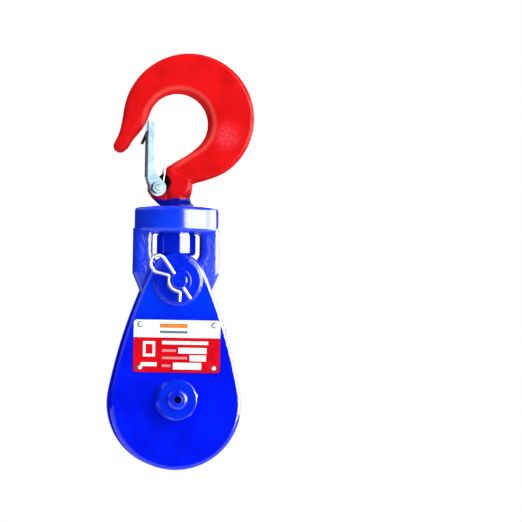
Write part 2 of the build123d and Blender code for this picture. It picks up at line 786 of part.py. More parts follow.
def make_hairpin():
    """Spring clip of round wire: straight leg through the bolt, curved leg round its outside."""
    hug = load_bolt_radius + hairpin_wire_radius + face_gap
    lean = radians(hairpin_wave_angle)
    peak = hug / cos(lean)
    pinch = hairpin_pinch_reach
    pinch_height = peak - pinch * tan(lean)
    loop = hairpin_loop_radius
    far = -hairpin_length
    loop_top = 2 * loop + hairpin_loop_straight
    path = FilletPolyline(
        (hairpin_leg_past_bolt, 0),
        (far, 0),
        (far, loop_top),
        (far + hairpin_loop_reach, loop_top),
        (-pinch, pinch_height),
        (0, peak),
        (pinch, pinch_height),
        (pinch + hairpin_flare, pinch_height + hairpin_flare_rise),
        radius=[loop, loop, hairpin_neck_bend, hairpin_bend, hug, hairpin_bend],
    )
    path = hairpin_plane() * path
    return sweep(Plane(path @ 0, z_dir=path % 0) * Circle(hairpin_wire_radius), path)


def make_centre_pin():
    """Pin that carries the sheave, with a round head at the back and a threaded, drilled front end."""
    nut_front_y = plate_outer_y + pin_nut_height
    end_y = nut_front_y + pin_end_length
    head_y = plate_outer_y + pin_head_length
    thread = rod(pin_thread_radius, -end_y, -plate_outer_y, 0, sheave_z)
    thread = fillet(edges_at(thread, Axis.Y, -end_y), pin_end_dome)
    head = rod(pin_head_radius, plate_outer_y, head_y, 0, sheave_z)
    head = fillet(edges_at(head, Axis.Y, head_y), pin_head_round)
    pin = rod(centre_pin_radius, -plate_outer_y, plate_outer_y, 0, sheave_z) + thread + head
    seat_y = grease_fitting_depth - end_y
    return pin - rod(grease_fitting_radius + pin_gap, -end_y - cut_margin, seat_y, 0, sheave_z)


def make_centre_pin_nut():
    """Large hexagon nut on the front of the centre pin."""
    bore = pin_thread_radius + pin_gap
    return hex_nut(pin_nut_flats, pin_nut_height, bore, -plate_outer_y, 0, sheave_z, pin_nut_turn)


def make_grease_fitting():
    """Bushed grease hole in the end of the centre pin."""
    end_y = plate_outer_y + pin_nut_height + pin_end_length
    front = -end_y - grease_fitting_stand
    body = rod(grease_fitting_radius, front, -end_y + grease_fitting_depth, 0, sheave_z)
    body = fillet(edges_at(body, Axis.Y, front), edge_break)
    return body - rod(grease_hole_radius, front - cut_margin, front + grease_hole_depth, 0, sheave_z)


def make_sheave():
    """Grooved wheel: round groove bottom, flared sides, narrow lands and recessed side faces."""
    flare = radians(groove_half_angle)
    groove_centre = sheave_radius - groove_depth + groove_radius
    rise = sheave_radius - groove_centre
    mouth = (groove_radius + rise * sin(flare)) / cos(flare)
    seat_x = groove_centre - groove_radius * sin(flare)
    seat_y = groove_radius * cos(flare)
    half = sheave_width / 2
    inner = centre_pin_radius + running_gap + bushing_wall + pin_gap
    recess_outer = sheave_radius - groove_depth - sheave_rim_wall
    recess_inner = sheave_hub_radius + sheave_recess
    recess_mouth = recess_outer + sheave_recess
    floor = half - sheave_recess
    lines = [
        Polyline((inner, -half), (sheave_hub_radius, -half), (recess_inner, -floor), (recess_outer, -floor)),
        Polyline((recess_outer, -floor), (recess_mouth, -half), (sheave_radius, -half)),
        Polyline((sheave_radius, -half), (sheave_radius, -mouth), (seat_x, -seat_y)),
        ThreePointArc((seat_x, -seat_y), (groove_centre - groove_radius, 0), (seat_x, seat_y)),
        Polyline((seat_x, seat_y), (sheave_radius, mouth), (sheave_radius, half)),
        Polyline((sheave_radius, half), (recess_mouth, half), (recess_outer, floor)),
        Polyline((recess_outer, floor), (recess_inner, floor), (sheave_hub_radius, half), (inner, half)),
        Line((inner, half), (inner, -half)),
    ]
    wheel = revolve(make_face(lines), Axis.Y)
    circles = wheel.edges().filter_by(GeomType.CIRCLE)
    rims = circles.filter_by(lambda edge: abs(edge.radius - sheave_radius) < same_place)
    return Pos(0, 0, sheave_z) * fillet(rims, sheave_edge_round)


def make_sheave_bushing():
    """Bronze bushing pressed into the sheave."""
    inner = centre_pin_radius + running_gap
    half = sheave_width / 2
    return ring(inner + bushing_wall, inner, -half, half, 0, sheave_z)


def make_sheave_washer(side):
    """Thrust washer between the sheave and a side plate."""
    near = sheave_width / 2 + face_gap
    front = near if side > 0 else -plate_inner_y
    back = plate_inner_y if side > 0 else -near
    return ring(sheave_washer_radius, centre_pin_radius + pin_gap, front, back, 0, sheave_z)


def rivet_places():
    """Centres of the nameplate's four rivets."""
    half_x = nameplate_width / 2 - rivet_inset_x
    half_z = nameplate_height / 2 - rivet_inset_z
    middle = sheave_z + nameplate_above_sheave
    return [(side * half_x, middle + level * half_z) for side in (-1, 1) for level in (-1, 1)]


def rivet_shanks(radius, depth):
    """Rods through the nameplate into the front plate."""
    back = depth - plate_outer_y
    front = -plate_outer_y - nameplate_thickness
    return Compound([rod(radius, front, back, x, z) for x, z in rivet_places()])


def make_nameplate():
    """Thin plate with rounded corners, held by four rivets."""
    outline = Pos(0, sheave_z + nameplate_above_sheave) * RectangleRounded(
        nameplate_width, nameplate_height, nameplate_corner
    )
    plate = Pos(0, -plate_outer_y, 0) * extrude(Plane.XZ * outline, nameplate_thickness)
    return plate - rivet_shanks(rivet_shank_radius + pin_gap, cut_margin)


def make_nameplate_rivets():
    """Four small round-head rivets."""
    face = -plate_outer_y - nameplate_thickness
    rivets = []
    for x, z in rivet_places():
        head = rod(rivet_radius, face - rivet_height, face, x, z)
        head = fillet(edges_at(head, Axis.Y, face - rivet_height), rivet_dome)
        rivets.append(head + rod(rivet_shank_radius, face, rivet_shank_length - plate_outer_y, x, z))
    return Compound(rivets)


def main():
    """Write each piece to its own file."""
    os.makedirs("parts", exist_ok=True)
    pieces = {
        "hook": make_hook(),
        "swivel_nut": make_swivel_nut(),
        "nut_cross_pin": cross_pin(cross_pin_radius, swivel_nut_radius - cross_pin_recess),
        "swivel_thrust_washer": make_thrust_washer(),
        "latch": make_latch(),
        "latch_bolt": make_latch_bolt(),
        "latch_washer": make_latch_washer(),
        "latch_nut": make_latch_nut(),
        "latch_spring": make_latch_spring(),
        "yoke": make_yoke(),
        "front_side_plate": make_side_plate(-1),
        "rear_side_plate": make_side_plate(1),
        "bolt_disc": make_bolt_disc(),
        "load_bolt": make_load_bolt(),
        "load_bolt_washer": make_load_bolt_washer(),
        "hairpin": make_hairpin(),
        "centre_pin": make_centre_pin(),
        "centre_pin_nut": make_centre_pin_nut(),
        "grease_fitting": make_grease_fitting(),
        "sheave": make_sheave(),
        "sheave_bushing": make_sheave_bushing(),
        "front_sheave_washer": make_sheave_washer(-1),
        "rear_sheave_washer": make_sheave_washer(1),
        "nameplate": make_nameplate(),
        "nameplate_rivets": make_nameplate_rivets(),
    }
    for name, piece in pieces.items():
        export_step(piece, f"parts/{name}.step")


main()
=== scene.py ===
from math import cos, radians, sin

import bmesh
import bpy
import numpy as np
from mathutils import Matrix, Vector


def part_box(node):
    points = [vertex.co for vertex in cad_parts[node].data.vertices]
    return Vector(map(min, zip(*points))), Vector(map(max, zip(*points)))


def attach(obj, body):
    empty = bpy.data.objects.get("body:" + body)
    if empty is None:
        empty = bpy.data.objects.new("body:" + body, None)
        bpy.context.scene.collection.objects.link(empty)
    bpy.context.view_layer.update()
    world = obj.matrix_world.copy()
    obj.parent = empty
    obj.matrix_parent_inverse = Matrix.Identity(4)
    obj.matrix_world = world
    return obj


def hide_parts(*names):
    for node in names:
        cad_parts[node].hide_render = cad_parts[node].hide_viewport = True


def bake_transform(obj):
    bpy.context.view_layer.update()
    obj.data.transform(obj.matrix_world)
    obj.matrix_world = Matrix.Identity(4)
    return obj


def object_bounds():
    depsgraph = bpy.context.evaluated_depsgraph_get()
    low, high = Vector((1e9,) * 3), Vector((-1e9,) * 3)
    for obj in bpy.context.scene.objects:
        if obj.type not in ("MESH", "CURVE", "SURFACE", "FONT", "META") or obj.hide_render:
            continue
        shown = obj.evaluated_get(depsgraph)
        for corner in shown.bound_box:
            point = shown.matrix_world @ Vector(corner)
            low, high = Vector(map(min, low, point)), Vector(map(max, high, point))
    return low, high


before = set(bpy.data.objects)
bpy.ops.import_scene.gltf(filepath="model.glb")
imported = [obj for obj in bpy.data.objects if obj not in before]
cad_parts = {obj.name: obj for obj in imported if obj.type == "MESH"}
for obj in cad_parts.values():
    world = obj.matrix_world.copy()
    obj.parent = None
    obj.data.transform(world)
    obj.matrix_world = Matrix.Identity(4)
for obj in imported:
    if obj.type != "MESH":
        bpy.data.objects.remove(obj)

# Snatch block hanging from its latch hook: finishes, fine detail, light and camera.
# Metres, in the CAD frame: X right, Y to the back, Z up, origin at the centre of the hook's bowl.
# An axis along Y, such as a pin's, is given by a point on it.

MM = 0.001
cad_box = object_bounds()

# Camera, from the photograph's view: angles in degrees, distances in metres, lens and sensor in mm
CAMERA_AZIMUTH = -4.7
CAMERA_ELEVATION = -1.5
CAMERA_ROLL = 0.95
CAMERA_DISTANCE = 3.62
CAMERA_LENS = 254.8
CAMERA_SENSOR = 36
LOOK_AT = Vector((0.0, 0.0, -0.135))
LOOK_RIGHT = 0.0834
LOOK_UP = 0.002

# Floor: plain card near the object, where it shows the shadow, and glowing white further out
FLOOR_DROP = 0.26
FLOOR_SIZE = 6.0
FLOOR_CARD_WITHIN = 0.7
FLOOR_WHITE_PAST = 1.6
FLOOR_MOTTLE_MM = 400.0

# World: its fill on rough surfaces, and what glossy ones mirror, white from the left above and dim elsewhere
WORLD_FILL = 0.35
MIRRORED_LEFT = (-0.25, -0.6)
MIRRORED_ABOVE = (0.1, 0.4)
MIRRORED_ELSEWHERE = 0.02

# Lamps: azimuth, elevation, distance, width, height, power, and if they light rough and glossy surfaces
LAMPS = {
    "key_box": (40, 28, 2.4, 1.5, 1.5, 44, True, True),
    "right_card": (50, 4, 2.1, 2.6, 1.5, 250, False, True),
    "side_card": (106, 4, 2.1, 2.0, 1.5, 110, False, True),
    "top_box": (0, 78, 2.2, 1.5, 1.5, 30, True, False),
    "back_box": (170, 30, 2.6, 1.6, 1.4, 45, True, True),
}

# Levels of noise between which patches go from nothing to full: broad, softly worn and grainy ones
BROAD = (0.35, 0.7)
WORN = (0.3, 0.75)
GRAINY = (0.38, 0.72)

# Sizes in mm of the patterns in sprayed enamel, and the roughness under its clear top
THIN_COAT_MM = 26.0
ORANGE_PEEL_MM = 2.2
DULL_PATCH_MM = 9.0
ENAMEL_BODY_ROUGHNESS = (0.4, 0.6)
ENAMEL_IOR = 1.55

# Sizes in mm of the patterns in plated and drawn metal
PLATING_PATCH_MM = 6.0
PLATING_DULL_MM = 3.0

# Blue spray that drifted onto the hook's collar: full below one level, gone above the other, and uneven
SPRAY_FULL = -0.0745
SPRAY_GONE = -0.0725
SPRAY_WANDER = 9.0 * MM
SPRAY_PATCH_MM = 7.0

# Painted shade round the latch's hinge and in the bore of the pin's grease hole
HINGE_SHADE_RADIUS = 10.5 * MM
HINGE_SHADE_FADE = 2.5 * MM
HINGE_SHADE_WANDER = 2.5 * MM
HINGE_SHADE_SHIFT = Vector((3.5 * MM, 0.0, 5.5 * MM))
HOLE_SHADE_RADIUS = 3.6 * MM
HOLE_SHADE_FADE = 0.4 * MM
HOLE_SHADE_WANDER = 0.4 * MM
SHADE_PATCH_MM = 4.0

# Painted highlight: a soft band along the bowl's rounded inner edge, round the bowl's axis, then straight
# along the throat
HIGHLIGHT_BAND_RADIUS = 34.5 * MM
HIGHLIGHT_BAND_HALF_WIDTH = 3.6 * MM
HIGHLIGHT_BAND_START = Vector((24.4 * MM, 0.0, -24.4 * MM))
HIGHLIGHT_BAND_END = Vector((-9.0 * MM, 0.0, -46.0 * MM))
HIGHLIGHT_BAND_JOIN = 4.0 * MM
HIGHLIGHT_BAND_FADE = 12.0 * MM
HIGHLIGHT_BAND_STRONGEST = 0.55

# Painted sheen over rough forging scale on the right of the bow: pale specks from faintest to strongest
SCALE_SHEEN_CENTRE = Vector((47.0 * MM, 0.0, -12.0 * MM))
SCALE_SHEEN_RADIUS = 19.0 * MM
SCALE_SHEEN_SPECK_MM = 2.6
SCALE_SHEEN_STRENGTHS = (0.1, 0.5)

# Small dark pits in the paint near the crown
PITS_CENTRE = Vector((46.0 * MM, 0.0, 41.0 * MM))
PITS_RADIUS = 8.0 * MM
PIT_MM = 4.0
PIT_STRENGTHS = (0.0, 0.9)

# Painted light: the plates lighter at the top, round the load bolt; full above one level on the plates, gone
# below the other
LIT_TOP_FULL = -0.170
LIT_TOP_GONE = -0.212

# Yoke: the head is turned smooth above one level, the arms keep the rough forged skin below the other
TURNED_ABOVE = -0.106
ROUGH_BELOW = -0.114
ROUGH_GRAIN_MM = 3.0
ROUGH_DEPTH_MM = 0.42

# Painted shade on the latch's lip: ways from its ear on the right to the outer face of its web and past it
LATCH_WEB_REACH = 19.3 * MM
LIP_SHADE_FROM = 1.2 * MM
LIP_SHADE_FULL = 1.8 * MM

# Dark rim of dirt round the nameplate's rivets
RIVET_RADIUS = 2.3 * MM
RIVET_RIM = 0.8 * MM

# Print on the nameplate: left, right, bottom and top of each ink's boxes, as shares of the plate
PRINT = {
    "#F8FAF8": ((-0.100, 1.100, 0.665, 1.100),),
    "#F8F4F2": (
        (0.517, 0.844, 0.365, 0.475),
        (0.648, 0.838, 0.220, 0.335),
        (0.458, 0.785, 0.060, 0.190),
        (0.330, 0.860, 0.535, 0.600),
        (0.110, 0.250, 0.300, 0.590),
        (0.085, 0.270, 0.115, 0.190),
    ),
    "#F08C90": (
        (0.330, 0.490, 0.395, 0.440),
        (0.330, 0.620, 0.255, 0.300),
        (0.330, 0.430, 0.105, 0.150),
    ),
    "#D80E1C": ((0.140, 0.220, 0.350, 0.540),),
    "#E08A3C": ((0.300, 0.620, 0.850, 0.930),),
    "#6E7C80": ((0.300, 0.620, 0.745, 0.795),),
}
FADED_INK_MM = 12.0
INK_GRAIN_MM = 1.2
INK_DEPTH_MM = 0.01

# Weld bead round the raised disc
BEAD_HALF_WIDTH = 1.7 * MM
BEAD_HEIGHT = 1.9 * MM
BEAD_OFFSET = 0.5 * MM
BEAD_RIPPLES = 24
BEAD_SWELL = 0.03
BEAD_CRESCENT = 1.5
BEAD_STEPS_OVER = 13
BEAD_STEPS_ROUND = 552

# Turned collar under the centre pin's nut
NUT_SEAT_RADIUS = 20.4 * MM
NUT_SEAT_BORE = 17.0 * MM
NUT_SEAT_HEIGHT = 1.3 * MM
NUT_SEAT_EDGE = 0.5 * MM
NUT_SEAT_STEPS_EDGE = 7
NUT_SEAT_STEPS_ROUND = 96

# Parting line that the forging dies leave along the hook's back: centre in X and Z, radius, ends in degrees
BOW_CENTRE = (10.0 * MM, 5.0 * MM)
BOW_RADIUS = 63.5 * MM
PARTING_ANGLES = (-48.0, 158.0)
PARTING_HALF_WIDTH = 1.7 * MM
PARTING_HEIGHT = 0.4 * MM
PARTING_SINK = 0.08 * MM
PARTING_BLUNTNESS = 0.25
PARTING_STEPS_ALONG = 180
PARTING_STEPS_ACROSS = 9

# Latch spring: distance within which points of its copied mesh are merged into one
MERGE_DISTANCE = 0.001 * MM


def linear(text):
    """Linear RGBA of an sRGB hex colour such as '#0428E6'."""
    parts = [int(text[k:k + 2], 16) / 255 for k in (1, 3, 5)]
    return [p / 12.92 if p <= 0.04045 else ((p + 0.055) / 1.055) ** 2.4 for p in parts] + [1.0]


def add(tree, kind, inputs=None, **settings):
    """Adds a shader node with its settings; an input is a value, a socket or a node, for its first output."""
    made = tree.nodes.new("ShaderNode" + kind)
    for name, value in settings.items():
        setattr(made, name, value)
    for name, value in (inputs or {}).items():
        if isinstance(value, bpy.types.Node):
            value = next(socket for socket in value.outputs if socket.enabled)
        if isinstance(value, bpy.types.NodeSocket):
            tree.links.new(value, made.inputs[name])
        else:
            made.inputs[name].default_value = value
    return made


def new_material(name):
    """Empty node material, its node tree and the object's coordinates."""
    material = bpy.data.materials.new(name)
    material.use_nodes = True
    tree = material.node_tree
    tree.nodes.clear()
    return material, tree, add(tree, "TexCoord").outputs["Object"]


def node_middle(node):
    """Middle of a CAD node's box."""
    low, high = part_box(node)
    return (low + high) / 2


# Patterns: each gives a node whose first output is a share from nought to one, or a value as its text says


def patches(tree, place, size_mm, levels, detail, low=0.0, high=1.0, roughness=0.5):
    """Value that goes from low to high in soft patches of noise, about size_mm across."""
    cloud = add(tree, "TexNoise", {
        "Vector": place, "Scale": 1 / (size_mm * MM), "Detail": detail, "Roughness": roughness,
    })
    limits = {"Value": cloud, "From Min": levels[0], "From Max": levels[1], "To Min": low, "To Max": high}
    return add(tree, "MapRange", limits, interpolation_type="SMOOTHSTEP")


def wandering(tree, place, value, width, size_mm, detail):
    """Value that wanders by up to half a width each way, in patches about size_mm across."""
    cloud = add(tree, "TexNoise", {"Vector": place, "Scale": 1 / (size_mm * MM), "Detail": detail})
    drift = add(tree, "Math", {0: cloud, 1: width, 2: -width / 2}, operation="MULTIPLY_ADD")
    return add(tree, "Math", {0: value, 1: drift}, operation="ADD")


def share_along(tree, place, axis, start, end):
    """Share that goes smoothly from nought at one level along an axis to one at another."""
    way = add(tree, "SeparateXYZ", {0: place}).outputs[axis]
    limits = {"Value": way, "From Min": start, "From Max": end}
    return add(tree, "MapRange", limits, interpolation_type="SMOOTHSTEP")


def reach_from(tree, place, centre):
    """Distance from an axis along Y."""
    flat = add(tree, "VectorMath", {0: place, 1: (1, 0, 1)}, operation="MULTIPLY")
    return add(tree, "VectorMath", {0: flat, 1: (centre[0], 0, centre[2])}, operation="DISTANCE")


def share_round(tree, place, centre, full, gone, wander=0.0):
    """One near an axis along Y and nought past a radius, with a rim that may wander."""
    reach = reach_from(tree, place, centre)
    if wander:
        reach = wandering(tree, place, reach, wander, SHADE_PATCH_MM, detail=3.0)
    limits = {"Value": reach, "From Min": gone, "From Max": full}
    return add(tree, "MapRange", limits, interpolation_type="SMOOTHSTEP")


def bumps(tree, place, size_mm, depth_mm, detail, below=None, share=None):
    """Normal with bumps about size_mm across laid over those below, all over or only by a share."""
    height = add(tree, "TexNoise", {"Vector": place, "Scale": 1 / (size_mm * MM), "Detail": detail})
    if share is not None:
        height = add(tree, "Math", {0: height, 1: share}, operation="MULTIPLY")
    inputs = {"Height": height, "Distance": depth_mm * MM}
    if below is not None:
        inputs["Normal"] = below
    return add(tree, "Bump", inputs)


def layered(tree, base, layers):
    """Colour of a base with others laid over it in turn, each by its share."""
    colour = linear(base)
    for share, tint in layers:
        colour = add(tree, "Mix", {0: share, 6: colour, 7: linear(tint)}, data_type="RGBA")
    return colour


def collar_spray(tree, place):
    """Share of blue spray on the hook: all below the collar, ending in an uneven edge."""
    height = add(tree, "SeparateXYZ", {0: place}).outputs["Z"]
    uneven = wandering(tree, place, height, SPRAY_WANDER, SPRAY_PATCH_MM, detail=4.0)
    limits = {"Value": uneven, "From Min": SPRAY_GONE, "From Max": SPRAY_FULL}
    return add(tree, "MapRange", limits, interpolation_type="SMOOTHSTEP")


def hinge_painted_shade(tree, place):
    """Share of painted shade above the latch's bolt, in the gap between its ear and the hook's neck."""
    centre = node_middle("latch_bolt") + HINGE_SHADE_SHIFT
    full = HINGE_SHADE_RADIUS - HINGE_SHADE_FADE
    return share_round(tree, place, centre, full, HINGE_SHADE_RADIUS, HINGE_SHADE_WANDER)


def hole_painted_shade(tree, place):
    """Share of painted shade in the bore of the grease hole."""
    centre = node_middle("grease_fitting")
    full = HOLE_SHADE_RADIUS - HOLE_SHADE_FADE
    return share_round(tree, place, centre, full, HOLE_SHADE_RADIUS, HOLE_SHADE_WANDER)


def painted_edge_highlight(tree, place):
    """Share of painted highlight: a soft band round the bowl's rounded edge and on down the throat.

    Round the bowl it goes by the distance from a circle, and below the circle's end by the distance from a
    straight line, along which it fades out.
    """
    along = (HIGHLIGHT_BAND_END - HIGHLIGHT_BAND_START).normalized()
    normal = Vector((-along.z, 0, along.x))
    across = add(tree, "VectorMath", {0: place, 1: normal}, operation="DOT_PRODUCT")
    beside = add(tree, "Math", {0: across, 1: normal.dot(HIGHLIGHT_BAND_START)}, operation="SUBTRACT")
    from_line = add(tree, "Math", {0: beside}, operation="ABSOLUTE")
    reach = reach_from(tree, place, (0, 0, 0))
    outside = add(tree, "Math", {0: reach, 1: HIGHLIGHT_BAND_RADIUS}, operation="SUBTRACT")
    from_arc = add(tree, "Math", {0: outside}, operation="ABSOLUTE")
    in_bowl = share_along(tree, place, "Z", HIGHLIGHT_BAND_START.z - HIGHLIGHT_BAND_JOIN, HIGHLIGHT_BAND_START.z)
    off = add(tree, "Mix", {0: in_bowl, 2: from_line, 3: from_arc})
    band = add(tree, "MapRange", {
        "Value": off, "From Min": HIGHLIGHT_BAND_HALF_WIDTH, "From Max": 0.0, "To Max": HIGHLIGHT_BAND_STRONGEST,
    }, interpolation_type="SMOOTHSTEP")
    before_end = share_along(tree, place, "X", HIGHLIGHT_BAND_END.x, HIGHLIGHT_BAND_END.x + HIGHLIGHT_BAND_FADE)
    kept = add(tree, "Math", {0: before_end, 1: in_bowl}, operation="MAXIMUM")
    return add(tree, "Math", {0: band, 1: kept}, operation="MULTIPLY")


def specks(tree, place, centre, radius, size_mm, strengths):
    """Share of a patch of soft specks, thickest at an axis along Y and gone at a radius."""
    near = share_round(tree, place, centre, 0.0, radius)
    faintest, strongest = strengths
    grains = patches(tree, place, size_mm, GRAINY, detail=3.0, low=faintest, high=strongest)
    return add(tree, "Math", {0: near, 1: grains}, operation="MULTIPLY")


def scale_with_painted_sheen(tree, place):
    """Share of pale specks, a painted sheen over rough forging scale."""
    return specks(tree, place, SCALE_SHEEN_CENTRE, SCALE_SHEEN_RADIUS, SCALE_SHEEN_SPECK_MM, SCALE_SHEEN_STRENGTHS)


def paint_pits(tree, place):
    """Share of dark pits in the paint."""
    return specks(tree, place, PITS_CENTRE, PITS_RADIUS, PIT_MM, PIT_STRENGTHS)


def painted_light_top(tree, place):
    """Share of painted light that makes the plates a lighter blue at the top."""
    return share_along(tree, place, "Z", LIT_TOP_GONE, LIT_TOP_FULL)


def forged_skin(tree, place, below):
    """Normal with the rough skin of the yoke's arms, which the turned head doesn't have."""
    on_arms = share_along(tree, place, "Z", TURNED_ABOVE, ROUGH_BELOW)
    return bumps(tree, place, ROUGH_GRAIN_MM, ROUGH_DEPTH_MM, detail=3.0, below=below, share=on_arms)


def lip_painted_shade(tree, place):
    """Share of painted shade on the latch's lip, which lies outside its web."""
    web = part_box("latch")[1].x - LATCH_WEB_REACH
    return share_along(tree, place, "X", web - LIP_SHADE_FROM, web - LIP_SHADE_FULL)


def printed_box(tree, on_plate, box):
    """One inside a box given by its sides on the plate, else nought."""
    left, right, bottom, top = box
    centre = ((left + right) / 2, 0, (bottom + top) / 2)
    half = ((right - left) / 2, 1, (top - bottom) / 2)
    shift = {"Vector": on_plate, "Location": centre, "Scale": half}
    centred = add(tree, "Mapping", shift, vector_type="TEXTURE")
    folded = add(tree, "VectorMath", {0: centred}, operation="ABSOLUTE")
    sides = add(tree, "SeparateXYZ", {0: folded})
    furthest = add(tree, "Math", {0: sides.outputs["X"], 1: sides.outputs["Z"]}, operation="MAXIMUM")
    return add(tree, "Math", {0: furthest, 1: 1.0}, operation="LESS_THAN")


def rivet_rims(tree, place):
    """One in the rings of dirt round the four rivets, whose heads fill the corners of their node's box.

    The plate is folded onto a quarter of itself, so that one ring does for all four.
    """
    middle = node_middle("nameplate_rivets")
    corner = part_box("nameplate_rivets")[1] - middle - Vector((RIVET_RADIUS, 0, RIVET_RADIUS))
    centred = add(tree, "VectorMath", {0: place, 1: middle}, operation="SUBTRACT")
    folded = add(tree, "VectorMath", {0: centred}, operation="ABSOLUTE")
    return share_round(tree, folded, corner, RIVET_RADIUS + RIVET_RIM / 2, RIVET_RADIUS + RIVET_RIM)


def enamel(name, body, deep, forge_mm, forge_depth, peel_depth, gloss, coat, stains_and_painted_light=(), skin=None):
    """Sprayed enamel over steel.

    The eye sees a deep, wet-looking colour with a faint orange peel about 2 mm across, thinner and darker
    in patches, over the larger waves of the forging or plate below it. Gloss is the roughness of its top.
    Stains and painted light are functions, each of which gives a share, and the colours that they lay on.
    Skin is a function that lays its bumps over the rest. Depths are in mm.
    """
    material, tree, place = new_material(name)
    thin = patches(tree, place, THIN_COAT_MM, BROAD, detail=3.0)
    colour = layered(tree, body, [(thin, deep)] + [(marking(tree, place), tint) for marking, tint in stains_and_painted_light])
    waves = bumps(tree, place, forge_mm, forge_depth, detail=3.0)
    normal = bumps(tree, place, ORANGE_PEEL_MM, peel_depth, detail=1.0, below=waves)
    if skin:
        normal = skin(tree, place, normal)
    bright, dull = ENAMEL_BODY_ROUGHNESS
    roughness = patches(tree, place, DULL_PATCH_MM, WORN, detail=2.0, low=bright, high=dull)
    shader = add(tree, "BsdfPrincipled", {
        "Base Color": colour, "Roughness": roughness, "Specular IOR Level": 0.0, "Normal": normal,
        "Coat Weight": coat, "Coat Roughness": gloss, "Coat IOR": ENAMEL_IOR, "Coat Normal": normal,
    })
    add(tree, "OutputMaterial", {"Surface": shader})
    return material


def plated_metal(name, body, shade, roughness, grain_mm, grain_depth, stains_and_painted_light=()):
    """Electroplated, turned or drawn metal.

    The eye sees a cool metal whose surface varies from brighter to duller in patches a few millimetres
    across, with a grain from rolling or drawing. The grain is drawn coarser than the real one, which is too
    fine to show. Roughness is that of the bright and of the dull patches, and the depth is in mm.
    """
    material, tree, place = new_material(name)
    thin = patches(tree, place, PLATING_PATCH_MM, BROAD, detail=4.0, roughness=0.6)
    # real stains and painted shade are laid over the metal's colour
    colour = layered(tree, body, [(thin, shade)] + [(marking(tree, place), tint) for marking, tint in stains_and_painted_light])
    bright, dull = roughness
    shader = add(tree, "BsdfPrincipled", {
        "Base Color": colour, "Metallic": 1.0,
        "Roughness": patches(tree, place, PLATING_DULL_MM, WORN, detail=4.0, low=bright, high=dull),
        "Normal": bumps(tree, place, grain_mm, grain_depth, detail=2.0),
    })
    add(tree, "OutputMaterial", {"Surface": shader})
    return material


def printed_plate(name):
    """Screen-printed aluminium plate.

    The eye sees a smooth enamel print: a white band over the top third with two plain bars, and a red field
    below it with plain white boxes and paler bars for a label's fields.
    """
    material, tree, place = new_material(name)
    low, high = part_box("nameplate")
    size = (high.x - low.x, 1, high.z - low.z)
    on_plate = add(tree, "Mapping", {"Vector": place, "Location": low, "Scale": size}, vector_type="TEXTURE")
    layers = [(patches(tree, place, FADED_INK_MM, WORN, detail=3.0), "#C80C1A")]
    for ink, boxes in PRINT.items():
        layers += [(printed_box(tree, on_plate, box), ink) for box in boxes]
    layers.append((rivet_rims(tree, place), "#4C565E"))
    shader = add(tree, "BsdfPrincipled", {
        "Base Color": layered(tree, "#DE0F1E", layers), "Roughness": 0.5, "Specular IOR Level": 0.0,
        "Normal": bumps(tree, place, INK_GRAIN_MM, INK_DEPTH_MM, detail=1.0),
        "Coat Weight": 0.4, "Coat Roughness": 0.06,
    })
    add(tree, "OutputMaterial", {"Surface": shader})
    return material


def paint(node, material):
    """Gives a carried-over CAD node its finish."""
    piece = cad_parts[node]
    piece.data.materials.clear()
    piece.data.materials.append(material)


